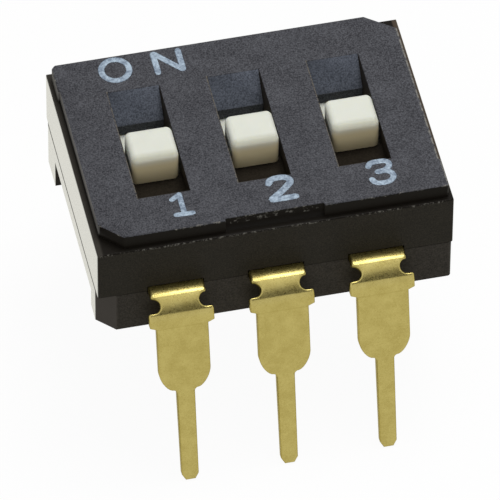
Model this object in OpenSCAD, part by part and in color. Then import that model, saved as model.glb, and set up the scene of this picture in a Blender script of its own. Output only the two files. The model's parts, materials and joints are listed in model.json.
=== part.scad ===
// Slide DIP switch with three positions, for through-hole mounting.
// Millimetres. +X runs along the row of switches, +Y to the ON side, +Z up.
// The origin is the centre of the footprint on the board's surface.

/* [Switch row] */
// Distance from one switch to the next
pitch = 2.54; // [2.3:0.01:3.1]
// How far a slider moves from off to on
travel = 0.66; // [0.5:0.02:0.8]

/* [Housing] */
// Thickness of the housing's end walls, beside the outer channels
end_wall = 0.93; // [0.75:0.01:2]
// Width of the housing from front to back
body_w = 6.3; // [5.6:0.1:8]
// Height of the cover from the parting plane to its ledge
cover_h = 1.54; // [1.4:0.02:2.2]
// Rounding of the cover's outer edges
edge_r = 0.06; // [0.02:0.01:0.12]
// Thickness of the cover's front and back walls
side_wall = 0.45; // [0.3:0.05:0.55]
// Width of the space that each slider runs in
channel_w = 2.06; // [1.95:0.01:2.2]

/* [Top plate] */
// Height of the raised plate above the ledge
plate_h = 0.41; // [0.2:0.01:0.6]
// Width of the ledge at the two ends
ledge_end = 0.11; // [0.05:0.01:0.3]
// Width of the ledge at the front and back
ledge_side = 0.13; // [0.05:0.01:0.3]
// Size of the corner cut at the front, beside the first switch
front_cut = 0.54; // [0.2:0.02:0.8]
// Length along the row of the corner cut at the back, beside the last switch
back_cut_l = 0.76; // [0.2:0.02:0.9]
// Width from front to back of that corner cut
back_cut_w = 0.58; // [0.2:0.02:0.8]
// Size of the small corner cut at the front, beside the last switch
front_nick = 0.04; // [0.02:0.01:0.3]
// Size of the small corner cut at the back, beside the first switch
back_nick = 0.12; // [0.02:0.01:0.3]
// Length of the shallow relief in the middle of the front edge
relief_l = 2.5; // [1:0.1:4]
// Depth of that relief
relief_d = 0.09; // [0.02:0.01:0.1]
// Length of the small step in each end edge
step_l = 0.9; // [0.5:0.05:1.5]
// Depth of that step
step_d = 0.05; // [0.02:0.01:0.1]
// Rounding of the plate's upper edge
plate_edge_r = 0.04; // [0.01:0.01:0.1]

/* [Slots] */
// Length of a slot at the plate's surface
slot_l = 3.68; // [3.2:0.02:4.2]
// Width of a slot
slot_w = 1.32; // [1.25:0.01:1.6]
// How far each sloped end runs into the slot
ramp_l = 0.62; // [0.3:0.01:0.7]
// Depth of the sloped ends
ramp_h = 0.66; // [0.4:0.02:0.9]
// Depth of the shelf in the front half of a slot, which the knob slides over
shelf_h = 0.6; // [0.4:0.01:0.65]
// Thickness of the roof between the plate's surface and the channels
roof_t = 0.96; // [0.92:0.01:1.15]

/* [Sliders] */
// Length of a knob along its travel
knob_l = 1.04; // [0.8:0.02:1.2]
// Gap between a knob and each side of its slot
knob_gap = 0.065; // [0.04:0.005:0.15]
// Height of a knob above the plate
knob_rise = 0.3; // [0.1:0.01:0.5]
// Rounding of a knob's top edges and upright corners
knob_r = 0.15; // [0.05:0.01:0.2]
// Length of the stem under the knob
stem_l = 0.6; // [0.4:0.02:0.8]
// Gap between the flange that keeps the slider in and each side of its channel
flange_gap = 0.1; // [0.04:0.01:0.2]
// Thickness of the flange
flange_t = 0.3; // [0.2:0.01:0.35]
// How far the flange reaches past the slot's lower opening at the end of its travel
flange_lap = 0.07; // [0.04:0.01:0.15]
// Gap between a slider and the parts it runs against
run_gap = 0.03; // [0.02:0.01:0.05]

/* [Base] */
// Height of the base's end walls under the parting plane
base_h = 0.7; // [0.5:0.05:1]
// Height of the front skirt under the end walls
front_skirt_h = 0.58; // [0.2:0.02:0.8]
// Height of the back skirt under the end walls
back_skirt_h = 0.87; // [0.2:0.01:1]
// Thickness of the skirts
skirt_t = 0.95; // [0.4:0.05:1.2]
// How far the base is set in from the cover's outline
base_inset = 0.02; // [0:0.01:0.1]
// Rounding of the base's upright corners
base_corner_r = 0.1; // [0.05:0.01:0.2]
// Size of the base's corner cut at the front, beside the first switch
base_cut = 0.44; // [0.3:0.02:0.8]
// Height of the groove that shows the parting plane
seam_h = 0.04; // [0.02:0.01:0.08]
// Depth of that groove
seam_d = 0.06; // [0.02:0.01:0.1]
// Diameter of the pegs that locate the cover
peg_d = 0.5; // [0.3:0.05:0.55]
// Height of the pegs
peg_h = 0.6; // [0.3:0.05:0.8]
// Gap round the pegs and the terminals where they are held
fit_gap = 0.02; // [0.01:0.01:0.04]

/* [Terminals] */
// Thickness of the strip
strip_t = 0.25; // [0.2:0.01:0.3]
// Width of the strip where it leaves the housing
tab_w = 1.39; // [1.2:0.01:1.5]
// Width of the neck between the two notches at the bend
neck_w = 0.99; // [0.7:0.01:1.1]
// Radius of the round notches
notch_r = 0.18; // [0.08:0.01:0.2]
// Angle from the crest of the bend down to the notches
notch_angle = 37; // [32:1:44]
// Straight run from the wall to the bend
lead_run = 0.05; // [0.02:0.01:0.5]
// Inner radius of the bend
bend_r = 0.52; // [0.4:0.01:0.7]
// Angle by which the leads spread outwards
splay = 11.6; // [0:0.2:14]
// Width of the shoulder under the bend
shoulder_w = 1.63; // [1.5:0.01:1.9]
// Height of the shoulder
shoulder_h = 0.12; // [0.1:0.01:0.7]
// Height of the sloped step from the shoulder to the blade
shoulder_slope = 0.07; // [0.02:0.01:0.09]
// Width of the blade
blade_w = 1.31; // [1.2:0.01:1.6]
// Height of the blade
blade_h = 1.94; // [1.4:0.02:2.4]
// Height over which the blade's lower corners are rounded towards the pin
blade_round_h = 0.56; // [0.2:0.02:0.8]
// Form of that rounding: 1 is an ellipse, and more comes nearer to a straight cut
blade_round_k = 1.25; // [1:0.05:1.6]
// Radius of the inner corners between the blade and the pin
pin_fillet_r = 0.1; // [0.04:0.01:0.14]
// Width of the pin under the blade
pin_w = 0.46; // [0.4:0.01:0.6]
// Width of the pin at its tip, before the cuts
pin_tip_w = 0.43; // [0.36:0.01:0.6]
// Length of the pin
pin_l = 2.85; // [2:0.02:3.4]
// Width of the cuts at the pin's tip
tip_cut_w = 0.09; // [0.04:0.01:0.15]
// Height of those cuts
tip_cut_h = 0.17; // [0.04:0.01:0.3]
// Gap between a contact pad inside the housing and each side of its channel
pad_gap = 0.23; // [0.1:0.01:0.3]

/* [Bridge contacts] */
// Thickness of the spring strip
spring_t = 0.1; // [0.06:0.01:0.12]
// Width of the spring strip
spring_w = 0.9; // [0.6:0.02:1.2]
// Half the length of its flat middle
spring_flat = 0.36; // [0.32:0.01:0.42]
// Distance of each contact foot from the slider's centre
foot_y = 0.75; // [0.65:0.01:0.9]
// Radius of the contact feet
foot_r = 0.1; // [0.07:0.01:0.14]
// Diameter of the posts that hold the strip on the slider
post_d = 0.24; // [0.18:0.01:0.28]
// Distance of each post from the slider's centre
post_y = 0.18; // [0.16:0.01:0.2]
// How far the posts reach past the strip
post_reach = 0.06; // [0.03:0.01:0.1]

/* [Hidden] */
$fn = 48;

// Places of the switches along X
SWITCHES = [-pitch, 0, pitch];

// Heights above the board: the blades' lower edges stand on it
bend_mid_r = bend_r + strip_t / 2;
bend_outer_r = bend_r + strip_t;
parting_z = bend_mid_r * (1 - sin(splay)) + (shoulder_h + blade_h) * cos(splay) + strip_t / 2 * sin(splay);
ledge_z = parting_z + cover_h;
plate_z = ledge_z + plate_h;
roof_z = plate_z - roof_t;
flange_z = roof_z - run_gap;
spring_z = flange_z - flange_t;
pad_z = parting_z + strip_t / 2;
floor_z = parting_z - base_h;
front_foot_z = floor_z - front_skirt_h;
back_foot_z = floor_z - back_skirt_h;

// Plan sizes that follow from the driving ones
body_l = 2 * pitch + channel_w + 2 * end_wall;
cavity_w = body_w - 2 * side_wall;
plate_l = body_l - 2 * ledge_end;
plate_w = body_w - 2 * ledge_side;
opening_l = slot_l - 2 * ramp_l;
flange_l = opening_l + 2 * (travel / 2 + flange_lap);
peg_x = (body_l - end_wall) / 2;
knob_w = slot_w - 2 * knob_gap;
knob_depth = shelf_h - run_gap;
shelf_end = stem_l / 2 + travel / 2 + run_gap;
flange_w = channel_w - 2 * flange_gap;
pad_w = channel_w - 2 * pad_gap;
blade_round_w = (blade_w - pin_w) / 2 - pin_fillet_r;

// A slider rests in the off position, towards the front
off_y = -travel / 2;

// Inner ends of the pads: only the front pad is under a foot in the off position
front_pad_end = foot_y - travel / 2 - 2 * foot_r;
rear_pad_end = foot_y;

// Bend of a lead: its axis, and the point where the straight leg starts
bend_y = body_w / 2 + lead_run;
bend_z = parting_z - bend_mid_r;
leg_y = bend_y + bend_mid_r * cos(splay);
leg_z = bend_z + bend_mid_r * sin(splay);

// Extra length for cuts that have to pass clean through
cut = 1;

PLASTIC = [0.13, 0.13, 0.14];
IVORY = [0.93, 0.92, 0.86];
GOLD = [0.78, 0.70, 0.40];
SPRING = [0.80, 0.68, 0.42];

// Extrudes an outline drawn in Y and Z along X
module along_x(l) {
    rotate([90, 0, 90]) linear_extrude(l, center = true) children();
}

// Extrudes an outline drawn in X and Z along Y
module along_y(l) {
    rotate([90, 0, 0]) linear_extrude(l, center = true) children();
}

// Rectangle that stands on the first axis, with its two upper corners rounded
module arch(w, h, r) {
    translate([-w / 2, 0]) square([w, h - r]);
    translate([r - w / 2, 0]) square([w - 2 * r, h]);
    for (side = [-1, 1])
        translate([side * (w / 2 - r), h - r]) circle(r);
}

// Rectangle about the origin with rounded corners
module rounded_plan(l, w, r) {
    for (x = [-1, 1], y = [-1, 1])
        translate([x * (l / 2 - r), y * (w / 2 - r)]) circle(r);
    square([l - 2 * r, w], center = true);
    square([l, w - 2 * r], center = true);
}

// Block with the given plan and with its upper edges rounded along both sides and both ends
module soft_block(l, w, h, r) {
    intersection() {
        linear_extrude(h) children();
        along_x(2 * l) arch(w, h, r);
        along_y(2 * w) arch(l, h, r);
    }
}

// Block with its upright corners and all its upper edges rounded
module round_block(l, w, h, r) {
    linear_extrude(h - r) rounded_plan(l, w, r);
    linear_extrude(h) square([l - 2 * r, w - 2 * r], center = true);
    translate([0, 0, h - r]) {
        for (x = [-1, 1], y = [-1, 1])
            translate([x * (l / 2 - r), y * (w / 2 - r), 0]) sphere(r);
        for (y = [-1, 1])
            translate([0, y * (w / 2 - r), 0]) along_x(l - 2 * r) circle(r);
        for (x = [-1, 1])
            translate([x * (l / 2 - r), 0, 0]) along_y(w - 2 * r) circle(r);
    }
}

// Plan of the raised plate
module plate_plan() {
    x = plate_l / 2;
    y = plate_w / 2;
    polygon([[-x + step_d, -y + front_cut], [-x + step_d + front_cut, -y],
             [-relief_l / 2, -y], [-relief_l / 2, -y + relief_d],
             [relief_l / 2, -y + relief_d], [relief_l / 2, -y],
             [x - front_nick, -y], [x, -y + front_nick],
             [x, -y + step_l], [x - step_d, -y + step_l],
             [x - step_d, y - back_cut_w], [x - step_d - back_cut_l, y],
             [-x + back_nick, y], [-x, y - back_nick],
             [-x, y - step_l], [-x + step_d, y - step_l]]);
}

// Section of a slot along its length: a slope and a shelf at the front, and a slope at the back
module slot_section() {
    half = slot_l / 2;
    low = opening_l / 2;
    slope = ramp_l / ramp_h;
    polygon([[-half - slope * cut, cut], [-half + slope * shelf_h, -shelf_h],
             [-shelf_end, -shelf_h], [-shelf_end, -roof_t - cut / 2],
             [low, -roof_t - cut / 2], [low, -ramp_h], [half + slope * cut, cut]]);
}

// The terminals' way out through the front and back walls, with a gap all round
module wall_notches(gap) {
    start = cavity_w / 2 - cut / 4;
    for (x = SWITCHES, side = [0, 1]) mirror([0, side, 0])
        translate([x - tab_w / 2 - gap, start, parting_z - strip_t / 2 - gap])
            cube([tab_w + 2 * gap, bend_y - start, strip_t + 2 * gap]);
}

// One row of contact pads on the +Y side, with a gap all round
module pad_row(pad_end, gap) {
    for (x = SWITCHES)
        translate([x - pad_w / 2 - gap, pad_end - gap, parting_z - strip_t / 2 - gap])
            cube([pad_w + 2 * gap, cavity_w / 2 - pad_end + gap, strip_t + 2 * gap]);
}

module cover() {
    color(PLASTIC) difference() {
        union() {
            translate([0, 0, parting_z])
                soft_block(body_l, body_w, cover_h, edge_r)
                    rounded_plan(body_l, body_w, edge_r);
            translate([0, 0, ledge_z - edge_r])
                soft_block(plate_l, plate_w, plate_h + edge_r, plate_edge_r)
                    plate_plan();
        }
        for (x = SWITCHES) {
            translate([x - channel_w / 2, -cavity_w / 2, parting_z - cut])
                cube([channel_w, cavity_w, roof_z - parting_z + cut]);
            translate([x, 0, plate_z]) along_x(slot_w) slot_section();
        }
        wall_notches(fit_gap);
        for (side = [-1, 1])
            translate([side * peg_x, 0, parting_z - cut])
                cylinder(d = peg_d + 2 * fit_gap, h = peg_h + fit_gap + cut);
    }
}

// Plan of the base, set in from the cover's outline, with one corner cut off
module base_plan(inset) {
    l = body_l - 2 * inset;
    w = body_w - 2 * inset;
    difference() {
        rounded_plan(l, w, base_corner_r);
        translate([-l / 2, -w / 2])
            polygon([[-cut, -cut], [base_cut + cut, -cut], [-cut, base_cut + cut]]);
    }
}

module base() {
    skirt_y = body_w / 2 - base_inset - skirt_t;
    color(PLASTIC) {
        difference() {
            union() {
                translate([0, 0, back_foot_z])
                    linear_extrude(parting_z - seam_h - back_foot_z) base_plan(base_inset);
                translate([0, 0, floor_z])
                    linear_extrude(base_h) base_plan(base_inset + seam_d);
            }
            // Space between the two skirts, open at both ends, and under the front one
            translate([-body_l, -skirt_y, back_foot_z - cut])
                cube([2 * body_l, 2 * skirt_y, floor_z - back_foot_z + cut]);
            translate([-body_l, -body_w, back_foot_z - cut])
                cube([2 * body_l, body_w, front_foot_z - back_foot_z + cut]);
            wall_notches(fit_gap);
            pad_row(rear_pad_end, fit_gap);
            mirror([0, 1, 0]) pad_row(front_pad_end, fit_gap);
        }
        // Ribs between the pads, level with them
        for (x = SWITCHES)
            translate([x - pad_w / 2, -front_pad_end + fit_gap, floor_z + base_h / 2])
                cube([pad_w, front_pad_end + rear_pad_end - 2 * fit_gap, pad_z - floor_z - base_h / 2]);
        for (side = [-1, 1])
            translate([side * peg_x, 0, floor_z + base_h / 2])
                cylinder(d = peg_d, h = base_h / 2 + peg_h);
    }
}

module slider(i) {
    color(IVORY) translate([SWITCHES[i - 1], off_y, 0]) {
        translate([0, 0, plate_z - knob_depth])
            round_block(knob_w, knob_l, knob_depth + knob_rise, knob_r);
        // Stem, from the flange up into the knob
        translate([-knob_w / 2 + knob_r, -stem_l / 2, spring_z])
            cube([knob_w - 2 * knob_r, stem_l, plate_z - spring_z]);
        translate([-flange_w / 2, -flange_l / 2, spring_z])
            cube([flange_w, flange_l, flange_t]);
        for (side = [-1, 1])
            translate([0, side * post_y, spring_z - spring_t - post_reach])
                cylinder(d = post_d, h = spring_t + post_reach + flange_t / 2);
    }
}

// Section of the spring strip along the travel, with its top at the flange
module spring_section() {
    foot_z = pad_z + fit_gap + foot_r - spring_z;
    start_z = -spring_t / 2;
    arm_l = norm([foot_y - spring_flat, foot_z - start_z]);
    arm_angle = atan2(foot_z - start_z, foot_y - spring_flat);
    translate([-spring_flat, -spring_t]) square([2 * spring_flat, spring_t]);
    for (side = [0, 1]) mirror([side, 0]) {
        translate([spring_flat, start_z]) {
            circle(spring_t / 2);
            rotate(arm_angle) translate([0, -spring_t / 2]) square([arm_l, spring_t]);
        }
        translate([foot_y, foot_z]) circle(foot_r);
    }
}

module bridge_contact(i) {
    color(SPRING) translate([SWITCHES[i - 1], off_y, 0]) difference() {
        translate([0, 0, spring_z]) along_x(spring_w) spring_section();
        for (side = [-1, 1])
            translate([0, side * post_y, spring_z - spring_t - cut / 4])
                cylinder(d = post_d + 2 * fit_gap, h = spring_t + cut / 2);
    }
}

// Outline of a lead from the bend down, with its top at the origin
module leg_plan() {
    blade_end = -shoulder_h - blade_h;
    tip = blade_end - pin_l;
    for (side = [0, 1]) mirror([side, 0]) {
        polygon([[0, 0], [shoulder_w / 2, 0], [shoulder_w / 2, shoulder_slope - shoulder_h],
                 [blade_w / 2, -shoulder_h],
                 for (t = [0:10:90]) [blade_w / 2 - blade_round_w * (1 - pow(cos(t), blade_round_k)),
                                      blade_end + blade_round_h * (1 - pow(sin(t), blade_round_k))],
                 [pin_w / 2, blade_end],
                 [pin_tip_w / 2, tip + tip_cut_h], [pin_tip_w / 2 - tip_cut_w, tip], [0, tip]]);
        // Rounded inner corner beside the pin
        translate([pin_w / 2, blade_end]) difference() {
            translate([-pin_fillet_r / 2, -pin_fillet_r])
                square([1.5 * pin_fillet_r, 1.5 * pin_fillet_r]);
            translate([pin_fillet_r, -pin_fillet_r]) circle(pin_fillet_r);
        }
    }
}

// Places an outline or a solid on the straight leg, facing outwards
module on_leg() {
    translate([0, leg_y, leg_z]) rotate([splay, 0, 0]) rotate([90, 0, 0]) children();
}

// Stretch of the bend about its axis, between two angles from the crest
module bend_arc(w, from, to) {
    reach = 2 * bend_outer_r;
    along_x(w) intersection() {
        difference() {
            circle(bend_outer_r);
            circle(bend_r);
        }
        polygon([[0, 0], reach * [sin(from), cos(from)], reach * [sin(to), cos(to)]]);
    }
}

// The lead outside the housing, on the +Y side
module lead() {
    difference() {
        union() {
            translate([0, bend_y, bend_z]) {
                bend_arc(tab_w, 0, notch_angle);
                bend_arc(shoulder_w, notch_angle, 90 - splay);
            }
            on_leg() linear_extrude(strip_t, center = true) leg_plan();
        }
        // Round notches, cut through the bend square to its surface and open at the sides
        for (side = [0, 1]) mirror([side, 0, 0])
            translate([neck_w / 2 + notch_r, bend_y, bend_z]) rotate([-notch_angle, 0, 0]) {
                cylinder(r = notch_r, h = bend_outer_r + cut);
                translate([0, -notch_r, 0]) cube([shoulder_w, 2 * notch_r, bend_outer_r + cut]);
            }
    }
}

// A whole terminal on the +Y side, with its pad ending at the given distance from the middle
module terminal(x, pad_end) {
    color(GOLD) translate([x, 0, 0]) {
        lead();
        translate([-tab_w / 2, cavity_w / 2 - cut / 4, parting_z - strip_t / 2])
            cube([tab_w, bend_y - cavity_w / 2 + cut / 4, strip_t]);
        translate([-pad_w / 2, pad_end, parting_z - strip_t / 2])
            cube([pad_w, cavity_w / 2 - fit_gap - pad_end, strip_t]);
    }
}

module rear_terminal(i) {
    terminal(SWITCHES[i - 1], rear_pad_end);
}

module front_terminal(i) {
    mirror([0, 1, 0]) terminal(SWITCHES[i - 1], front_pad_end);
}

cover();
base();
slider(1);  // slider_1
slider(2);  // slider_2
slider(3);  // slider_3
bridge_contact(1);  // bridge_contact_1
bridge_contact(2);  // bridge_contact_2
bridge_contact(3);  // bridge_contact_3
front_terminal(1);  // front_terminal_1
front_terminal(2);  // front_terminal_2
front_terminal(3);  // front_terminal_3
rear_terminal(1);  // rear_terminal_1
rear_terminal(2);  // rear_terminal_2
rear_terminal(3);  // rear_terminal_3
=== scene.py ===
# %% [markdown]
# A slide DIP switch with three positions, dressed for a studio photograph.
# The shapes that work, such as the housing, the sliders and the leads, come from the packed CAD
# model. This lesson adds what the eye sees: a camera, a white table, the finish of each surface,
# softened edges on the metal and the cover, and the ink that is printed on the top plate.

# %% Load the frame
import json
import math

import bmesh
import bpy
from mathutils import Matrix, Vector

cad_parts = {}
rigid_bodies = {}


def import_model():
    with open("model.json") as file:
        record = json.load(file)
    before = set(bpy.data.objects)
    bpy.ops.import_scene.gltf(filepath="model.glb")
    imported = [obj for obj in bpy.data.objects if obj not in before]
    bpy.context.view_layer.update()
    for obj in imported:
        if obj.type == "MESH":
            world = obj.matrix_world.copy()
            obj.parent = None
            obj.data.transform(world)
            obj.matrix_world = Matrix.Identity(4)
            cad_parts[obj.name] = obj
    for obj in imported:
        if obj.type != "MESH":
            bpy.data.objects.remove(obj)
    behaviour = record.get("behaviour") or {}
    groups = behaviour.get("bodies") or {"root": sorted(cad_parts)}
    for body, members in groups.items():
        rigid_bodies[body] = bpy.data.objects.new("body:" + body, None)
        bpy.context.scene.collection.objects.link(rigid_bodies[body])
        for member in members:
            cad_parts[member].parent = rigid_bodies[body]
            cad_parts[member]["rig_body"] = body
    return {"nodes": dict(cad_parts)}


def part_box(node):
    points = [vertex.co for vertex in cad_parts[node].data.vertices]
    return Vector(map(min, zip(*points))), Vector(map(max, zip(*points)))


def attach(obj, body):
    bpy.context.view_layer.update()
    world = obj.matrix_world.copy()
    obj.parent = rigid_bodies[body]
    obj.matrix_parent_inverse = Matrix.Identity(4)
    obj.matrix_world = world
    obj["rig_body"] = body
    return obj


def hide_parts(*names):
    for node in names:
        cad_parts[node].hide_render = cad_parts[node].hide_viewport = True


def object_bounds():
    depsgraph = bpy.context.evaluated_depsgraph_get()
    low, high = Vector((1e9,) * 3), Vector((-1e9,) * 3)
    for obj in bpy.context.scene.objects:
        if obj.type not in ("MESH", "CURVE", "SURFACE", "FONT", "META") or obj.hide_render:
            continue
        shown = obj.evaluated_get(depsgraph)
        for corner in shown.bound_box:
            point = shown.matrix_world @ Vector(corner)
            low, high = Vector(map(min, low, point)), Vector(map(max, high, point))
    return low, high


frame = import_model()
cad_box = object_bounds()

MM = 0.001
SWITCHES = (1, 2, 3)
nodes = frame["nodes"]

# %% [markdown]
# Everything later is placed from a few sizes of the real switch, so they are read from the frame
# first. A node's box gives two corners, and most of what is needed follows from them: the top of
# the cover is the plate that carries the print, and the middle of each slider gives its slot.
# Measuring is better than typing the numbers again, because the looks then follow when the model
# changes. The few sizes that no box gives, such as the width of a slot, are named here.
# Meshes are in metres. Places and sizes that a finish uses are in millimetres.

# %% Measure the frame
cover_low, cover_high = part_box("cover")
slot_x = [sum(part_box(f"slider_{i}"), Vector()).x / 2 for i in SWITCHES]
floor_z = cad_box[0].z
plate_z = cover_high.z
PLATE_H = 0.41
SLOT_L = 3.68
SLOT_W = 1.32
RAMP_L = 0.62
half_l, half_w = cover_high.x / MM, cover_high.y / MM
pitch = (slot_x[1] - slot_x[0]) / MM
top_mm = plate_z / MM
ledge_mm = top_mm - PLATE_H
parting_mm = cover_low.z / MM
print(f"plate {top_mm:.3f} mm above the board, switches {pitch:.2f} mm apart")

# %% [markdown]
# The camera comes before any surface, because every choice of colour and light is judged through
# it. A long lens far away flattens the switch as a catalogue photograph does: the edges of the
# body stay parallel. Its place is written as two angles and a distance from the middle of the
# plate, which is easier to read and to correct than a position and three turns. The aim lies
# below the plate, so that the leads are in the frame.

# %% Camera
VIEW_AZIMUTH = math.radians(-12.88)
VIEW_ELEVATION = math.radians(47.16)
VIEW_ROLL = math.radians(0.44)
VIEW_DISTANCE = 226.9 * MM
VIEW_LENS = 658.7
AIM_RIGHT = 0.03 * MM
AIM_DOWN = 3.10 * MM
CLIP_NEAR = 10 * MM
CLIP_FAR = 2.0


def add_object(name, data):
    """A new object in the scene."""
    made = bpy.data.objects.new(name, data)
    bpy.context.scene.collection.objects.link(made)
    return made


def view_axes():
    """The camera's place, and the directions of its right, its top and its back."""
    plate_centre = Vector((0, 0, plate_z))
    level = math.cos(VIEW_ELEVATION)
    back = Vector((math.sin(VIEW_AZIMUTH) * level,
                   -math.cos(VIEW_AZIMUTH) * level,
                   math.sin(VIEW_ELEVATION)))
    right = Vector((math.cos(VIEW_AZIMUTH), math.sin(VIEW_AZIMUTH), 0))
    right.rotate(Matrix.Rotation(VIEW_ROLL, 3, back))
    place = plate_centre + VIEW_DISTANCE * back
    aim = plate_centre + AIM_RIGHT * right - AIM_DOWN * back.cross(right)
    back = (place - aim).normalized()
    up = back.cross(right).normalized()
    return place, up.cross(back), up, back


def aim_camera():
    """Makes the scene's camera and returns it."""
    place, right, up, back = view_axes()
    turn = Matrix((right, up, back)).transposed().to_4x4()
    camera = add_object("camera", bpy.data.cameras.new("camera"))
    camera.data.lens = VIEW_LENS
    camera.data.clip_start = CLIP_NEAR
    camera.data.clip_end = CLIP_FAR
    camera.matrix_world = Matrix.Translation(place) @ turn
    bpy.context.scene.camera = camera
    return camera


camera = aim_camera()
print("camera at", [round(c / MM, 1) for c in camera.location], "mm, lens", VIEW_LENS, "mm")

# %% [markdown]
# A finish is a tree of nodes, and a tree is easier to read as a formula. The class below wraps
# one socket, and each operator that is used on it adds the Math node for that operator, so
# `1 - mask` is a node too. Every other kind of node comes from one method, which takes the node's
# type, its settings and its sockets. The other way is to make and link each node by hand, which
# hides the idea behind many lines of wiring. A Mix node has sockets for numbers, for vectors and
# for colours under the same names, so those for colours are called by their numbers.

# %% Shader arithmetic
MIX_FACTOR, MIX_LOW, MIX_HIGH, MIX_RESULT = 0, 6, 7, 2


class Shade:
    """A socket in a material's tree that can be used in Python arithmetic."""

    def __init__(self, tree, socket=None):
        self.tree = tree
        self.socket = socket

    def node(self, kind, settings=None, inputs=None, output=0):
        """Adds a node, sets it up, fills or links its sockets, and returns one of its outputs."""
        made = self.tree.nodes.new(kind)
        for name, value in (settings or {}).items():
            setattr(made, name, value)
        for key, value in (inputs or {}).items():
            if isinstance(value, Shade):
                self.tree.links.new(value.socket, made.inputs[key])
            else:
                made.inputs[key].default_value = value
        return Shade(self.tree, made.outputs[output])

    def math(self, operation, first, second=0.0):
        return self.node("ShaderNodeMath", {"operation": operation}, {0: first, 1: second})

    def __add__(self, other):
        return self.math("ADD", self, other)

    def __sub__(self, other):
        return self.math("SUBTRACT", self, other)

    def __rsub__(self, other):
        return self.math("SUBTRACT", other, self)

    def __mul__(self, other):
        return self.math("MULTIPLY", self, other)

    def __abs__(self):
        return self.math("ABSOLUTE", self)

    __radd__ = __add__
    __rmul__ = __mul__

    def higher_of(self, other):
        return self.math("MAXIMUM", self, other)

    def rise(self, start, end):
        """Goes smoothly from 0 at start to 1 at end."""
        return self.node("ShaderNodeMapRange", {"interpolation_type": "SMOOTHSTEP"},
                         {"Value": self, "From Min": start, "From Max": end})

    def fall(self, start, end):
        """Goes smoothly from 1 at start to 0 at end."""
        return 1 - self.rise(start, end)

    def blend(self, low, high):
        """The colour low where this value is 0, and the colour high where it is 1."""
        return self.node("ShaderNodeMix", {"data_type": "RGBA"},
                         {MIX_FACTOR: self, MIX_LOW: low, MIX_HIGH: high}, MIX_RESULT)


print("reflected operators:", [name for name in vars(Shade) if name.startswith("__r")])

# %% [markdown]
# A material starts the same way each time: an empty tree, a Principled shader and its output.
# Object coordinates are used throughout, because they stay on the surface when a part moves. They
# come in metres, so they are multiplied up to millimetres, and a noise of 10 waves then means ten
# waves a millimetre. Colours are written as they look on a screen and turned into the linear
# values that shaders count with.

# %% Material helpers
def linear(share):
    """The light that a screen gives for a level from 0 to 1, by the sRGB curve."""
    return share / 12.92 if share <= 0.04045 else ((share + 0.055) / 1.055) ** 2.4


def srgb(red, green, blue):
    """A screen colour from 0 to 255 as the linear colour that shaders use."""
    return (*(linear(level / 255) for level in (red, green, blue)), 1.0)


class Finish:
    """A new material with a Principled shader, and the object coordinates in millimetres."""

    def __init__(self, name):
        self.material = bpy.data.materials.new(name)
        self.material.use_nodes = True
        tree = self.material.node_tree
        tree.nodes.clear()
        self.tree = Shade(tree)
        self.shader = tree.nodes.new("ShaderNodeBsdfPrincipled")
        self.output = tree.nodes.new("ShaderNodeOutputMaterial")
        self.surface = Shade(tree, self.shader.outputs[0])
        self.show(self.surface)
        metres = self.tree.node("ShaderNodeTexCoord", output="Object")
        self.place = self.tree.node("ShaderNodeVectorMath", {"operation": "SCALE"},
                                    {0: metres, "Scale": 1 / MM})
        self.x, self.y, self.z = (
            self.tree.node("ShaderNodeSeparateXYZ", None, {0: self.place}, k) for k in range(3))

    def show(self, surface):
        """Makes a shader the one that the material's surface shows."""
        self.material.node_tree.links.new(surface.socket, self.output.inputs["Surface"])

    def set(self, **sockets):
        """Gives sockets of the shader a number, a colour or a link; _ stands for a space."""
        for name, value in sockets.items():
            socket = self.shader.inputs[name.replace("_", " ")]
            if isinstance(value, Shade):
                self.material.node_tree.links.new(value.socket, socket)
            else:
                socket.default_value = value

    def noise(self, waves, detail=2.0, roughness=0.5):
        """A cloudy value between 0 and 1, with so many waves a millimetre."""
        return self.tree.node("ShaderNodeTexNoise", {"noise_dimensions": "3D"},
                              {"Vector": self.place, "Scale": waves, "Detail": detail,
                               "Roughness": roughness})

    def bump(self, height, depth):
        """Relief of the given depth in millimetres, where height goes from 0 to 1."""
        return self.tree.node("ShaderNodeBump", None, {"Height": height, "Distance": depth * MM})

    def dress(self, *objects):
        """Puts this finish on whole objects."""
        for thing in objects:
            thing.data.materials.clear()
            thing.data.materials.append(self.material)


print("a screen grey of 128 is", round(srgb(128, 128, 128)[0], 3), "in a shader")

# %% [markdown]
# The switch stands on a white table under a white sky. A sky that is white to everything would
# light the housing from all sides and leave it flat. So the sky is grey for the light that falls
# on the switch, and it shows as white to the camera and in reflections, which the Light Path node
# can tell apart.

# %% Sky
SKY_LEVEL = 0.30
WHITE = (1, 1, 1, 1)
SEEN_RAYS = ("Camera", "Glossy", "Transmission")


def grey(level):
    return (level, level, level, 1)


def ray_kind(shade, name):
    return shade.node("ShaderNodeLightPath", output=f"Is {name} Ray")


def seen_directly(shade):
    """1 for light that reaches the camera straight or mirrored, 0 for light that bounces."""
    straight, mirrored, clear = (ray_kind(shade, name) for name in SEEN_RAYS)
    return straight.higher_of(mirrored).higher_of(clear)


def make_sky():
    world = bpy.data.worlds.new("sky")
    world.use_nodes = True
    world.node_tree.nodes.clear()
    shade = Shade(world.node_tree)
    colour = seen_directly(shade).blend(grey(SKY_LEVEL), WHITE)
    sky = shade.node("ShaderNodeBackground", None, {"Color": colour, "Strength": 1.0})
    output = world.node_tree.nodes.new("ShaderNodeOutputWorld")
    world.node_tree.links.new(sky.socket, output.inputs["Surface"])
    bpy.context.scene.world = world


make_sky()
bpy.context.scene.view_settings.view_transform = "Standard"
print("sky level", SKY_LEVEL)

# %% [markdown]
# The table is made the same way. One that is only painted white would throw much light back up at
# the front of the housing, and the front would lose its depth, so it is grey for the light that
# bounces. In reflections it is a warm white, as the paper on the table is. A share of real
# shading stays in it near the switch, so the shadow is kept.

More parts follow.
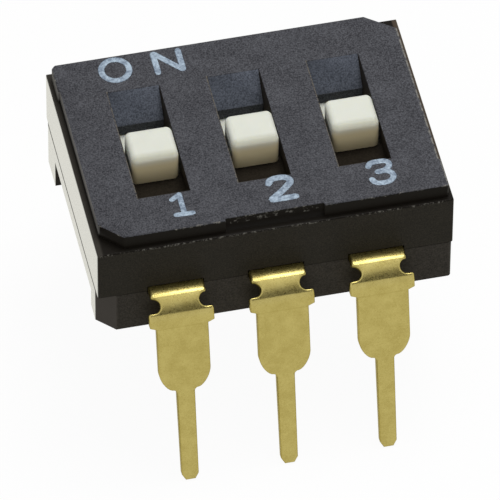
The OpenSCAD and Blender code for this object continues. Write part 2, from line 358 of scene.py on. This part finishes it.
# %% Table
TABLE_REACH = 1.5
TABLE_BOUNCE = 0.30
SHADOW_SHARE = 0.05
SHADOW_FADE = (8.0, 40.0)
WARM_WHITE = (1, 0.99, 0.90, 1)


def table_white():
    f = Finish("table_white")
    direct = seen_directly(f.tree)
    far = f.tree.node("ShaderNodeVectorMath", {"operation": "LENGTH"}, {0: f.place}, "Value")
    keep = SHADOW_SHARE * far.fall(*SHADOW_FADE)
    paint = f.tree.node("ShaderNodeBsdfDiffuse", None,
                        {"Color": direct.blend(grey(TABLE_BOUNCE), WHITE)})
    white = ray_kind(f.tree, "Camera").blend(WARM_WHITE, WHITE)
    glow = f.tree.node("ShaderNodeEmission", None, {"Color": white, "Strength": 1.0})
    f.show(f.tree.node("ShaderNodeMixShader", None, {0: direct * (1 - keep), 1: paint, 2: glow}))
    f.material.node_tree.nodes.remove(f.shader)
    return f


def mesh_of(bm, name):
    """Turns a bmesh into a mesh and frees it."""
    mesh = bpy.data.meshes.new(name)
    bm.to_mesh(mesh)
    bm.free()
    return mesh


def flat_sheet(name, shape):
    """A square sheet that reaches from -1 to 1 before the matrix puts it in its place."""
    bm = bmesh.new()
    bmesh.ops.create_grid(bm, x_segments=1, y_segments=1, size=1.0, matrix=shape)
    return add_object(name, mesh_of(bm, name))


def make_table():
    table = flat_sheet("table", Matrix.Translation((0, 0, floor_z)) @ Matrix.Scale(TABLE_REACH, 4))
    table_white().dress(table)
    return table


table = make_table()
print("table", round(table.dimensions.x, 1), "m wide at", round(floor_z / MM, 3), "mm")

# %% [markdown]
# Two softboxes do the rest. The key hangs almost straight above the switch: it lights the tops,
# reaches into the slots and puts a bright line on the crest of every lead. The fill stands low in
# front. It lights the upper part of each knob's front, and the edge of the slot keeps it from the
# lower part, which goes dark. A lamp's power is worked out from how bright its face should look,
# and the levels are set so that a colour that faces up renders about as it is written. Metal
# shouldn't mirror the fill, so glossy rays don't see it.

# %% Softboxes
KEY = {"place": Vector((11, 8, 72)) * MM, "size": 36 * MM, "radiance": 7.6}
FILL = {"place": Vector((-10, -90, 38)) * MM, "size": 50 * MM, "radiance": 2.6}


def make_softbox(name, place, size, radiance):
    """A square lamp that faces the switch."""
    lamp = bpy.data.lights.new(name, "AREA")
    lamp.shape = "SQUARE"
    lamp.size = size
    lamp.energy = math.pi * size * size * radiance
    box = add_object(name, lamp)
    box.location = place
    box.rotation_euler = place.to_track_quat("Z", "Y").to_euler()
    return box


key = make_softbox("key", **KEY)
fill = make_softbox("fill", **FILL)
fill.visible_glossy = False
print("power in watts: key", round(key.data.energy, 4), "and fill", round(fill.data.energy, 4))

# %% [markdown]
# Shiny metal looks like metal only when it has something dark to mirror. In a studio that is the
# dark room behind the camera, which draws a dark line across the bend of each lead. Here a black
# card stands for it. Only reflections see the card, so it takes no light away and throws no shadow.

# %% Dark card
CARD_PLACE = Vector((23, -113, 96)) * MM
CARD_HALF = Vector((60, 30, 1)) * MM
CARD_BLACK = 0.01


def make_card():
    turn = CARD_PLACE.to_track_quat("Z", "Y").to_matrix().to_4x4()
    shape = Matrix.Translation(CARD_PLACE) @ turn @ Matrix.Diagonal((*CARD_HALF, 1))
    card = flat_sheet("card", shape)
    card.visible_camera = card.visible_diffuse = False
    card.visible_transmission = card.visible_shadow = False
    black = Finish("card_black")
    black.set(Base_Color=grey(CARD_BLACK), Roughness=1.0, Specular_IOR_Level=0.0)
    black.dress(card)
    return card


card = make_card()
print("card", [round(side / MM) for side in card.dimensions], "mm")

# %% [markdown]
# Real edges are never perfectly sharp: the tool that stamps a lead leaves a small radius, and so
# does the mould round a slot, and these thin lines catch the light. The CAD mesh has sharp edges
# there, so each of these pieces gets a copy that stands in for it: its triangles are merged into
# one skin, flat areas become single faces, and the chosen edges get a narrow bevel. A bevel in
# the shader would look alike in this view, but it wouldn't be in the mesh. Weighted normals keep
# the flat faces flat beside the round ones.

# %% Softened copies
MERGE_REACH = 0.0002 * MM
FLAT_ANGLE = math.radians(0.4)
SHARP_ANGLE = math.radians(38)
EDGE_SEGMENTS = 3


def merged_copy(node):
    """The node's mesh as one closed skin whose flat areas are single faces."""
    bm = bmesh.new()
    bm.from_mesh(nodes[node].data)
    bmesh.ops.remove_doubles(bm, verts=bm.verts, dist=MERGE_REACH)
    bmesh.ops.dissolve_limit(bm, angle_limit=FLAT_ANGLE, verts=bm.verts, edges=bm.edges)
    return bm


def is_sharp(edge):
    return edge.is_manifold and edge.calc_face_angle() > SHARP_ANGLE


def soften(bm, edges, width):
    bmesh.ops.bevel(bm, geom=edges, affect="EDGES", offset=width, offset_type="OFFSET",
                    segments=EDGE_SEGMENTS, profile=0.5, material=-1, clamp_overlap=False)


def stand_in(name, node, bm):
    """Puts a finished copy in the place of a CAD node."""
    mesh = mesh_of(bm, name)
    mesh.shade_smooth()
    mesh.set_sharp_from_angle(angle=SHARP_ANGLE)
    piece = add_object(name, mesh)
    weighted = piece.modifiers.new("weighted", "WEIGHTED_NORMAL")
    weighted.keep_sharp = True
    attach(piece, nodes[node]["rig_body"])
    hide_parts(node)
    return piece


print("edges over", round(math.degrees(SHARP_ANGLE)), "degrees count as sharp")

# %% [markdown]
# The leads are stamped from strip and then bent. The punch drags the metal down along the outline,
# so the edges of both faces are rolled over, and they catch the light. The corners of the outline
# stay sharp: those are the edges that run across the strip, and they are as long as the strip is
# thick, which tells them apart.

# %% Leads
LEAD_EDGE = 0.05 * MM
STRIP_T = 0.25 * MM
CLOSE = 0.005 * MM


def across_strip(edge):
    start, end = (vert.co for vert in edge.verts)
    return abs(start.x - end.x) < CLOSE and abs((start - end).length - STRIP_T) < CLOSE


def make_lead(side, i):
    node = f"{side}_terminal_{i}"
    bm = merged_copy(node)
    rolled = [edge for edge in bm.edges if is_sharp(edge) and not across_strip(edge)]
    soften(bm, rolled, LEAD_EDGE)
    return stand_in(f"{side}_lead_{i}", node, bm)


leads = [make_lead(side, i) for side in ("front", "rear") for i in SWITCHES]
print("leads", [(lead.name, len(lead.data.polygons)) for lead in leads])

# %% [markdown]
# The cover is a moulding, and only the rims of its slots are still sharp in the CAD mesh. An edge
# belongs to a rim when both its ends lie on the plate's surface, inside the field that the three
# slots take up.

# %% Cover
SLOT_EDGE = 0.02 * MM
FIELD_SPARE = 0.1
field_x = (pitch + SLOT_W / 2 + FIELD_SPARE) * MM
field_y = (SLOT_L / 2 + FIELD_SPARE) * MM


def on_slot_rim(edge):
    return all(abs(vert.co.z - plate_z) < CLOSE
               and abs(vert.co.x) < field_x and abs(vert.co.y) < field_y for vert in edge.verts)


def make_cover():
    bm = merged_copy("cover")
    rims = [edge for edge in bm.edges if is_sharp(edge) and on_slot_rim(edge)]
    soften(bm, rims, SLOT_EDGE)
    print("slot rim edges", len(rims))
    return stand_in("moulded_cover", "cover", bm)


cover = make_cover()

# %% [markdown]
# The housing is a black moulding, but it isn't one grey. The top plate was textured by the mould:
# it is lighter, with a fine grain. The sloped back ends of the slots are painted lighter and cooler,
# as a painted reflection of a bluish light in front, and the wells are painted darker and warmer, as
# painted shade. The walls are smooth and nearly black, and the base is a little lighter than the
# cover. The ledge round the plate is painted a deeper black than the cover, as painted shade from
# the plate's wall, with a grey strip at the left end and a light brown painted highlight at the
# right. Larger surfaces get a dark and a light tone, and a noise goes between the two. One colour is
# enough for the narrow ones, where no grain can be seen.

# %% Housing colours
PLATE_TONES = srgb(44, 44, 48), srgb(95, 96, 101)
RAMP_REFLECTION_TONES = srgb(64, 68, 76), srgb(106, 111, 122)
WELL_SHADE_TONES = srgb(32, 28, 23), srgb(50, 45, 38)
COVER_TONES = srgb(34, 32, 27), srgb(54, 50, 43)
BASE_TONES = srgb(44, 41, 37), srgb(70, 66, 60)
CUT_CORNER_REFLECTION = srgb(81, 76, 71)
BLACK_AND_LEDGE_SHADE = srgb(24, 21, 17)
LEDGE_GREY = srgb(56, 53, 48)
RIGHT_EDGE_HIGHLIGHT = srgb(78, 68, 58)
SIDE_GREY = srgb(107, 105, 102)
SLOT_RIM_HIGHLIGHT = srgb(106, 100, 90)
BURR_AND_GLINT_PALE = srgb(150, 147, 138)
print("plate in linear colour:", [[round(c, 3) for c in tone] for tone in PLATE_TONES])

# %% [markdown]
# A mask is a value from 0 to 1 that says where a colour shows. Masks that are worked out from the
# place on the part let one material serve the whole housing. Separate materials would need the
# mesh to be cut along each border. Each pair of numbers below is where a mask starts to change
# and where it has changed, and a narrow pair makes a crisp border.
# The slots repeat along the row, and rounding the place to whole steps of the row gives the
# distance from the middle of the nearest slot, so one set of masks does for all three.

# %% Slot masks
SLOT_SIDE = SLOT_W / 2
SLOT_END = SLOT_L / 2
RAMP_FOOT = SLOT_END - RAMP_L
FIELD_SIDE = (half_l - 0.9, half_l - 0.8)
FIELD_END = (SLOT_END, SLOT_END + 0.02)
WELL_SIDE = (SLOT_SIDE + 0.005, SLOT_SIDE + 0.02)
RAMP_SIDE = (SLOT_SIDE - 0.02, SLOT_SIDE - 0.005)
RAMP_START = (RAMP_FOOT - 0.02, RAMP_FOOT + 0.02)
RIM_OUTER = (-0.035, -0.02)
RIM_INNER = (0.0, 0.015)
RIM_LEVEL = (top_mm - 0.03, top_mm - 0.02)


def slot_masks(f, top):
    """The inside of the slots, the textured slope at the back of each, and a painted highlight on
    its left rim.
    """
    across = f.x - pitch * f.tree.math("ROUND", f.x * (1 / pitch))
    field = abs(f.x).fall(*FIELD_SIDE) * abs(f.y).fall(*FIELD_END)
    well = abs(across).fall(*WELL_SIDE) * field * (1 - top)
    ramp = well * abs(across).fall(*RAMP_SIDE) * f.y.rise(*RAMP_START)
    left = across + SLOT_SIDE
    rim = left.rise(*RIM_OUTER) * left.fall(*RIM_INNER) * field * f.z.rise(*RIM_LEVEL)
    return well, ramp, rim


print(f"slopes start {RAMP_FOOT:.2f} mm behind the middle")

# %% [markdown]
# A mould leaves small burrs along its partings, and they sit in patches on the plate's rim. Finer
# specks in patches on the front edge of the ledge are a painted highlight, broken up along that
# edge. As geometry they would be smaller than a pixel, so they are a noise inside a narrow band of
# height, and a second, slower noise makes the patches. Where two bands meet, the stronger one
# counts.

# %% Rim specks
PLATE_RIM_LOW = (top_mm - 0.055, top_mm - 0.035)
PLATE_RIM_HIGH = (top_mm - 0.004, top_mm - 0.001)
PLATE_BORDER_X = (half_l - 0.25, half_l - 0.2)
PLATE_BORDER_Y = (half_w - 0.3, half_w - 0.25)
LEDGE_RIM_LOW = (ledge_mm - 0.06, ledge_mm - 0.045)
LEDGE_RIM_HIGH = (ledge_mm - 0.02, ledge_mm - 0.005)
LEDGE_FRONT = (0.03 - half_w, 0.05 - half_w)
SPECKS = {"waves": 11.0, "start": 0.5, "end": 0.66}
SPECK_PATCHES = (0.38, 0.6)
LEDGE_GLINT_SPECKS = {"waves": 17.0, "start": 0.5, "end": 0.62}
LEDGE_GLINT_PATCHES = (0.3, 0.5)
LEDGE_GLINT_SHARE = 0.5


def speck_noise(f, waves, start, end):
    """Scattered specks: start and end are the levels of the noise where they begin and are full."""
    return f.noise(waves=waves, detail=3.0, roughness=0.7).rise(start, end)


def rim_burrs_and_glints(f):
    """Burrs on the plate's rim, and finer specks of painted highlight on the ledge's front edge."""
    patch = f.noise(waves=1.1)
    border = abs(f.y).rise(*PLATE_BORDER_Y).higher_of(abs(f.x).rise(*PLATE_BORDER_X))
    plate_rim = f.z.rise(*PLATE_RIM_LOW) * f.z.fall(*PLATE_RIM_HIGH) * border
    specks = speck_noise(f, **SPECKS) * patch.rise(*SPECK_PATCHES)
    ledge_rim = f.z.rise(*LEDGE_RIM_LOW) * f.z.fall(*LEDGE_RIM_HIGH) * f.y.fall(*LEDGE_FRONT)
    # painted highlight: finer specks along the ledge's front edge
    ledge_glints = LEDGE_GLINT_SHARE * speck_noise(f, **LEDGE_GLINT_SPECKS) * patch.rise(*LEDGE_GLINT_PATCHES)
    return (specks * plate_rim).higher_of(ledge_glints * ledge_rim)


print(f"specks in the top {top_mm - PLATE_RIM_LOW[0]:.3f} mm of the plate's rim")

# %% [markdown]
# The plate's right rim is painted with a pale highlight along most of its length, broken into
# specks, for the light that its edge catches. The rim stands back by a small step behind its front
# corner, so the mask takes the step out of the place before it asks how far right a point is.

# %% Right rim highlight
STEP_D = 0.05
STEP_PLACE = (-2.14, -2.1)
RIGHT_RIM = half_l - 0.11
RIGHT_RIM_SIDE = (RIGHT_RIM - 0.045, RIGHT_RIM - 0.03)
RIGHT_RIM_LOW = (top_mm - 0.06, top_mm - 0.04)
RIM_GLINTS = {"waves": 8.0, "start": 0.36, "end": 0.6}
RIM_GLINT_SHARE = 0.7


def right_rim_highlight(f):
    """A painted highlight on the plate's right rim, from its front corner to its back corner."""
    reach = f.x + STEP_D * f.y.rise(*STEP_PLACE)
    right_rim = reach.rise(*RIGHT_RIM_SIDE) * f.z.rise(*RIGHT_RIM_LOW)
    # painted highlight, broken into specks by the noise
    return RIM_GLINT_SHARE * speck_noise(f, **RIM_GLINTS) * right_rim


print(f"worn rim {RIGHT_RIM:.2f} mm right of the middle")

# %% [markdown]
# The plate has a shallow relief in the middle of its front. A few flecks lie on the wall of the
# relief, and they are made like the other burrs, inside the borders of that wall.

# %% Relief flecks
RELIEF_HALF = 1.25
RELIEF_WALL = -2.93
RELIEF_SIDE = (RELIEF_HALF - 0.15, RELIEF_HALF - 0.05)
RELIEF_FACE = (RELIEF_WALL + 0.03, RELIEF_WALL + 0.05)
RELIEF_LOW = (top_mm - 0.24, top_mm - 0.2)
RELIEF_HIGH = (top_mm - 0.1, top_mm - 0.06)
FLECKS = {"waves": 6.0, "start": 0.52, "end": 0.62}
FLECK_SHARE = 0.4


def relief_flecks(f):
    """A few flecks on the wall of the relief at the front of the plate."""
    wall = abs(f.x).fall(*RELIEF_SIDE) * f.y.fall(*RELIEF_FACE)
    wall = wall * f.z.rise(*RELIEF_LOW) * f.z.fall(*RELIEF_HIGH)
    return FLECK_SHARE * speck_noise(f, **FLECKS) * wall


print(f"relief {2 * RELIEF_HALF:.2f} mm wide")

# %% [markdown]
# The two ends of the housing are polished: at a flat angle they mirror the white table, and from
# the side they are black. The rest of the housing hardly shines, so the ends get a shader of
# their own with a clear coat, and a Mix Shader goes between the two. Its mask leaves out a band at
# the line where the cover meets the base, which stands back a little, and without its polish that
# band shows as a painted shadow line.

# %% Polished ends
BASE_INSET = 0.02
SEAM_SHADE_FOOT = parting_mm - 0.23
SEAM_SHADE_SHARE = 0.9
SEAM_LOW = (SEAM_SHADE_FOOT, SEAM_SHADE_FOOT + 0.02)
SEAM_HIGH = (parting_mm, parting_mm + 0.01)
INSET_TOP = (parting_mm - 0.01, parting_mm)
END_FACE = (half_l - 0.014, half_l - 0.006)
END_TOP = (ledge_mm - 0.03, ledge_mm - 0.01)
DULL_SHARE = 0.14
DULL_SPREAD = (0.3, 0.6)
POLISHED = {"Base Color": BLACK_AND_LEDGE_SHADE, "Roughness": 0.12, "Specular IOR Level": 0.5,
            "Coat Weight": 1.0, "Coat Roughness": 0.08, "Coat IOR": 1.5}


def polish_mask(f, grain):
    """The end faces of the cover and the base, a little uneven, apart from a painted shadow line at
    the seam.
    """
    reach = abs(f.x) + BASE_INSET * f.z.fall(*INSET_TOP)
    end_face = reach.rise(*END_FACE) * f.z.fall(*END_TOP)
    # painted shadow: the polish is taken off a band at the seam, so it renders dark
    seam = f.z.rise(*SEAM_LOW) * f.z.fall(*SEAM_HIGH)
    even = (1 - DULL_SHARE) + DULL_SHARE * grain.rise(*DULL_SPREAD)
    return end_face * (1 - SEAM_SHADE_SHARE * seam) * even


print(f"seam from {SEAM_SHADE_FOOT:.2f} to {parting_mm:.2f} mm above the board")

# %% [markdown]
# Two borders run round the housing: the parting between base and cover, and the ledge. The base
# has one cut corner, on the left at the front, and a face that runs at 45 degrees is found by the
# sum of the two places. The cut face is painted a lighter grey below the parting, as a painted
# reflection of the bright table. The plate's left wall is painted a pale grey.

# %% Walls and ledge
BASE_TOP = (parting_mm - 0.03, parting_mm)
BASE_CUT = 0.44
CUT_SUM = BASE_CUT + 2 * BASE_INSET - half_l - half_w
CUT_FACE = (CUT_SUM - 0.02, CUT_SUM + 0.05)
CUT_TOP = (parting_mm - 0.06, parting_mm - 0.03)
LEFT_STRIP = (0.1 - half_l, 0.18 - half_l)
RIGHT_STRIP = (RIGHT_RIM - 0.05, RIGHT_RIM)
RIGHT_STRIP_START = (-2.8, -2.5)
LEFT_WALL = (0.17 - half_l, 0.2 - half_l)
LEFT_WALL_FOOT = (ledge_mm + 0.04, ledge_mm + 0.16)


def wall_colour(f, tone):
    """The walls of the cover and the base, and a painted reflection on the base's cut corner."""
    walls = f.z.fall(*BASE_TOP).blend(tone.blend(*COVER_TONES), tone.blend(*BASE_TONES))
    # painted reflection: the cut corner below the parting is painted a lighter grey
    cut_corner = (f.x + f.y).fall(*CUT_FACE) * f.z.fall(*CUT_TOP)
    return cut_corner.blend(walls, CUT_CORNER_REFLECTION)


def ledge_colour(f):
    """The ledge round the plate and the walls of the plate that stand on it, in painted shade."""
    # painted shade: the ledge and the plate's walls get a deeper black than the cover
    ledge = f.x.fall(*LEFT_STRIP).blend(BLACK_AND_LEDGE_SHADE, LEDGE_GREY)
    # painted highlight: a light brown strip along the right edge, for the light that edge catches
    right_strip = f.x.rise(*RIGHT_STRIP) * f.y.rise(*RIGHT_STRIP_START)
    ledge = right_strip.blend(ledge, RIGHT_EDGE_HIGHLIGHT)
    left_wall = f.x.fall(*LEFT_WALL) * f.z.rise(*LEFT_WALL_FOOT)
    return left_wall.blend(ledge, SIDE_GREY)


print(f"parting {parting_mm:.2f} mm and ledge {ledge_mm:.2f} mm above the board")

# %% [markdown]
# Now the colours go on in layers, as a painter would put them: first the walls and the ledge, then
# the plate's face, the slots, and last the painted highlights on the rims. The same grain that
# mottles the colour gives the relief. It is deep on the plate and the slopes, which the mould
# textured, and weak on the walls.

# %% Housing plastic
GRAIN_SHARE, MOTTLE_SHARE, CLOUD_SHARE = 0.8, 0.2, 0.15
TONE_SPREAD = (0.36, 0.8)
PLATE_FACE = (top_mm - 0.026, top_mm - 0.016)
LEDGE_LEVEL = (ledge_mm - 0.05, ledge_mm - 0.03)
SLOT_RIM_BREAKS = (0.35, 0.6)
WALL_ROUGHNESS, GRAIN_ROUGHNESS = 0.45, 0.1
WALL_RELIEF = 0.4
GRAIN_DEPTH = 0.006


def housing_plastic():
    f = Finish("housing_plastic")
    grain = f.noise(waves=26.0, roughness=0.6)
    mottle = MOTTLE_SHARE * f.noise(waves=11.0) + CLOUD_SHARE * f.noise(waves=1.6)
    tone = (GRAIN_SHARE * grain + mottle).rise(*TONE_SPREAD)
    top = f.z.rise(*PLATE_FACE)
    well, ramp, rim = slot_masks(f, top)
    colour = f.z.rise(*LEDGE_LEVEL).blend(wall_colour(f, tone), ledge_colour(f))
    colour = top.blend(colour, tone.blend(*PLATE_TONES))
    # painted shade: the inside of the slots gets darker, warmer tones
    colour = well.blend(colour, tone.blend(*WELL_SHADE_TONES))
    # painted reflection: the back slopes get lighter, cooler tones for a bluish light in front
    colour = ramp.blend(colour, tone.blend(*RAMP_REFLECTION_TONES))
    # painted highlight: a pale line along each slot's left rim, broken up by the grain
    colour = (rim * grain.rise(*SLOT_RIM_BREAKS)).blend(colour, SLOT_RIM_HIGHLIGHT)
    # pale marks: burrs, relief flecks, and painted highlights on the ledge's front edge and right
    # rim
    pale = rim_burrs_and_glints(f).higher_of(right_rim_highlight(f)).higher_of(relief_flecks(f))
    textured = top.higher_of(ramp)
    relief = grain * (WALL_RELIEF + (1 - WALL_RELIEF) * textured)
    f.set(Base_Color=pale.blend(colour, BURR_AND_GLINT_PALE), Specular_IOR_Level=0.06,
          Roughness=WALL_ROUGHNESS + GRAIN_ROUGHNESS * textured,
          Normal=f.bump(relief, GRAIN_DEPTH))
    polished = f.tree.node("ShaderNodeBsdfPrincipled", None, POLISHED)
    f.show(f.tree.node("ShaderNodeMixShader", None,
                       {0: polish_mask(f, grain), 1: f.surface, 2: polished}))
    return f


housing = housing_plastic()
housing.dress(cover, nodes["base"])
print("housing dressed with", len(housing.material.node_tree.nodes), "nodes")

# %% [markdown]
# The knobs are a smooth ivory plastic that lets a little light in. Their fronts are painted deeper
# and warmer towards the bottom, as painted shade from the slot round them and for light that has
# gone a long way through the plastic. A duller band is painted along the top at the front edge, as
# painted shade that starts a little before the edge.

# %% Slider plastic
IVORY_TONES = srgb(222, 224, 212), srgb(228, 230, 219)
IVORY_LIP_SHADE = srgb(197, 198, 182)
IVORY_DEEP_SHADE = srgb(208, 194, 156)
KNOB_FRONT = -0.85
LIP_REACH = (KNOB_FRONT + 0.06, KNOB_FRONT + 0.26)
LIP_LEVEL = (top_mm + 0.16, top_mm + 0.28)
DEEP_REACH = (KNOB_FRONT + 0.04, KNOB_FRONT + 0.24)
DEEP_LEVEL = (top_mm - 0.05, top_mm + 0.32)
LIGHT_REACH = (0.3 * MM, 0.25 * MM, 0.15 * MM)
KNOB_GRAIN = 0.001


def slider_plastic():
    f = Finish("slider_plastic")
    pale = f.noise(waves=2.5).blend(*IVORY_TONES)
    # painted shade: a duller band along the top at the front edge
    lip_shade = f.y.fall(*LIP_REACH) * f.z.rise(*LIP_LEVEL)
    # painted shade: the front gets deeper and warmer towards the bottom
    deep_shade = f.y.fall(*DEEP_REACH) * f.z.fall(*DEEP_LEVEL)
    f.set(Base_Color=deep_shade.blend(lip_shade.blend(pale, IVORY_LIP_SHADE), IVORY_DEEP_SHADE), Roughness=0.55,
          Subsurface_Weight=0.15, Subsurface_Radius=LIGHT_REACH, Subsurface_Scale=1.0,
          Specular_IOR_Level=0.3, Normal=f.bump(f.noise(waves=30.0), KNOB_GRAIN))
    return f


sliders = [nodes[f"slider_{i}"] for i in SWITCHES]
slider_plastic().dress(*sliders)
print("ivory on", [slider.name for slider in sliders])

# %% [markdown]
# The leads are plated with a thin gold-coloured layer over rolled strip. The metal shows what is
# around it, so most of its look comes from the white table, the key and the dark card. The
# rolling leaves a fine uneven grain, and a faint darker line is painted across the lead where the
# straight part starts. The bridge contacts inside are bare spring strip, a deeper brass.

# %% Plated metal
GOLD_TONES = srgb(171, 156, 91), srgb(189, 175, 109)
GOLD_EDGE = (0.62, 0.56, 0.36, 1)
GOLD_SPREAD = (0.3, 0.7)
GOLD_GRAIN = 0.0009
CREASE = parting_mm - 0.59
CREASE_HALF = 0.03
CREASE_SHARE = 0.5
BRASS_TONES = (0.50, 0.36, 0.15, 1), (0.62, 0.46, 0.20, 1)


def gold_plating():
    f = Finish("gold_plating")
    grain = f.noise(waves=22.0, roughness=0.6)
    crease = f.z.rise(CREASE - CREASE_HALF, CREASE) * f.z.fall(CREASE, CREASE + CREASE_HALF)
    cloudy = 0.5 * f.noise(waves=3.0, detail=3.0) + 0.5 * grain
    tone = cloudy.rise(*GOLD_SPREAD) - CREASE_SHARE * crease
    f.set(Base_Color=tone.blend(*GOLD_TONES), Metallic=1.0, Specular_Tint=GOLD_EDGE,
          Roughness=0.22 + 0.14 * grain, Normal=f.bump(grain, GOLD_GRAIN))
    return f


def spring_metal():
    f = Finish("spring_metal")
    streak = f.noise(waves=6.0, detail=3.0)
    f.set(Base_Color=streak.blend(*BRASS_TONES), Metallic=1.0, Roughness=0.25 + 0.15 * streak)
    return f


contacts = [nodes[f"bridge_contact_{i}"] for i in SWITCHES]
gold_plating().dress(*leads)
spring_metal().dress(*contacts)
print("gold on", len(leads), "leads, brass on", len(contacts), "bridge contacts")

# %% [markdown]
# The word ON and the numbers are printed on the plate in a pale blue-grey ink. Each is a few brush
# strokes of one width with round ends. A stroke is a curve with a round section: the radius of
# its first and last points goes down to nothing, so the ends come out round. Pressed flat, it is a
# thin film of ink. A font would give other shapes than those of the stamp, which were drawn by
# hand.

# %% Brush strokes
ROUND_END = ((-0.6, 0.05), (-0.35, 0.7), (0.4, 1.0))
BEND_STEPS = 6
STRAIGHT, BENT, RING = "straight", "bent", "ring"


def with_round_ends(points, half_width):
    """The points of a stroke with a radius for each, and a few more at its two ends."""
    first, second, before, last = points[0], points[1], points[-2], points[-1]
    head = (second - first).normalized()
    tail = (before - last).normalized()
    start = [(first + head * half_width * step, radius) for step, radius in ROUND_END]
    end = [(last + tail * half_width * step, radius) for step, radius in reversed(ROUND_END)]
    return start + [(point, 1.0) for point in points[1:-1]] + end


def add_stroke(curve, kind, points):
    """Adds one brush stroke to a curve, through points in millimetres on the plate."""
    points = [Vector((*point, 0)) for point in points]
    knots = [(point, 1.0) for point in points]
    if kind != RING:
        knots = with_round_ends(points, curve.bevel_depth)
    spline = curve.splines.new("BEZIER")
    spline.use_cyclic_u = kind == RING
    spline.resolution_u = BEND_STEPS
    spline.bezier_points.add(len(knots) - 1)
    handle = "VECTOR" if kind == STRAIGHT else "AUTO"
    for knot, (point, radius) in zip(spline.bezier_points, knots):
        knot.co = point
        knot.radius = radius
        knot.handle_left_type = knot.handle_right_type = handle


print("strokes may be", STRAIGHT, BENT, "or", RING)

# %% [markdown]
# A figure is one curve with all its strokes. The curve's bevel gives it the round section, Blender
# works out the solid, and a matrix presses it flat, turns millimetres into metres and lays it on
# the plate. The place goes into the mesh, so the object itself stays at the origin.

# %% Flat figures
INK_HEIGHT = 0.008
SECTION_STEPS = 2


def drawn_curve(name, half_width, strokes):
    curve = bpy.data.curves.new(name, "CURVE")
    curve.dimensions = "3D"
    curve.bevel_depth = half_width
    curve.bevel_resolution = SECTION_STEPS
    curve.use_fill_caps = True
    for kind, points in strokes:
        add_stroke(curve, kind, points)
    return curve


def print_figure(name, half_width, strokes):
    """Makes one printed figure from its strokes and lays it on the plate."""
    line = add_object(name, drawn_curve(name, half_width, strokes))
    solid = line.evaluated_get(bpy.context.evaluated_depsgraph_get())
    mesh = bpy.data.meshes.new_from_object(solid)
    bpy.data.objects.remove(line)
    flat = Matrix.Diagonal((MM, MM, MM * INK_HEIGHT / half_width, 1))
    mesh.transform(Matrix.Translation((0, 0, plate_z)) @ flat)
    mesh.shade_smooth()
    figure = add_object(name, mesh)
    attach(figure, "housing")
    return figure


print("ink film", INK_HEIGHT, "mm high")

# %% [markdown]
# Each figure below is written as half the width of its strokes, because the stamp doesn't press
# all of them alike, and then the strokes. A stroke is straight from point to point, bent smoothly
# through its points, or a ring that closes on itself, and its points are in millimetres on the
# plate.

# %% Printed figures
O_CENTRE = Vector((-2.85, 2.53))
O_HALF = Vector((0.348, 0.355))
turns = [math.tau * k / 8 for k in range(8)]
ring = [(O_CENTRE.x + O_HALF.x * math.cos(t), O_CENTRE.y + O_HALF.y * math.sin(t)) for t in turns]
FIGURES = {
    "print_on": (0.086, [(RING, ring),
                         (STRAIGHT, [(-1.82, 2.19), (-1.82, 2.89)]),
                         (STRAIGHT, [(-1.82, 2.89), (-1.185, 2.19)]),
                         (STRAIGHT, [(-1.185, 2.19), (-1.185, 2.89)])]),
    "print_1": (0.077, [(STRAIGHT, [(-2.188, -1.88), (-2.188, -2.57)]),
                        (STRAIGHT, [(-2.195, -1.92), (-2.42, -2.065)]),
                        (STRAIGHT, [(-2.42, -2.565), (-1.955, -2.575)])]),
    "print_2": (0.099, [(BENT, [(0.03, -2.06), (0.10, -1.94), (0.31, -1.885), (0.52, -1.93),
                                (0.585, -2.05), (0.48, -2.19), (0.0, -2.57)]),
                        (STRAIGHT, [(0.0, -2.58), (0.645, -2.575)])]),
    "print_3": (0.085, [(BENT, [(2.56, -2.02), (2.64, -1.91), (2.84, -1.88), (3.05, -1.915),
                                (3.10, -2.0), (2.98, -2.17), (2.74, -2.215)]),
                        (BENT, [(2.74, -2.215), (3.0, -2.23), (3.12, -2.376), (3.05, -2.53),
                                (2.81, -2.597), (2.62, -2.53), (2.562, -2.406)])]),
}
figures = [print_figure(name, *drawing) for name, drawing in FIGURES.items()]
print("printed", [(figure.name, len(figure.data.polygons)) for figure in figures])

# %% [markdown]
# The ink is thin, so the grain of the plate shows through it as darker spots. Towards the rim of a
# stroke the film thins out, and there the grain breaks it. The height on the film and a noise
# together decide where, and where there is no film the material is clear.

# %% Ink
INK_TONES = srgb(180, 198, 214), srgb(112, 126, 144)
INK_SPREAD = (0.36, 0.66)
INK_RIM = (0.05, 0.3)
INK_BREAK = 1.6
INK_GRAIN = 0.004


def print_ink():
    f = Finish("print_ink")
    grain = f.noise(waves=16.0, detail=3.0, roughness=0.65)
    thin = (0.5 * f.noise(waves=7.0) + 0.5 * grain).rise(*INK_SPREAD)
    film = (f.z - top_mm) * (1 / INK_HEIGHT) + INK_BREAK * (grain - 0.5)
    f.set(Base_Color=thin.blend(*INK_TONES), Roughness=0.55, Specular_IOR_Level=0.3,
          Alpha=film.rise(*INK_RIM), Normal=f.bump(grain, INK_GRAIN))
    return f


print_ink().dress(*figures)
print("ink on", [figure.name for figure in figures])

# %% [markdown]
# Dressing a part mustn't change its size. The last line counts the new pieces and the CAD nodes
# that are kept.

# %% Count the pieces
print("new pieces", len(leads) + len(figures) + 1, "and CAD nodes kept", len(nodes) - len(leads) - 1)
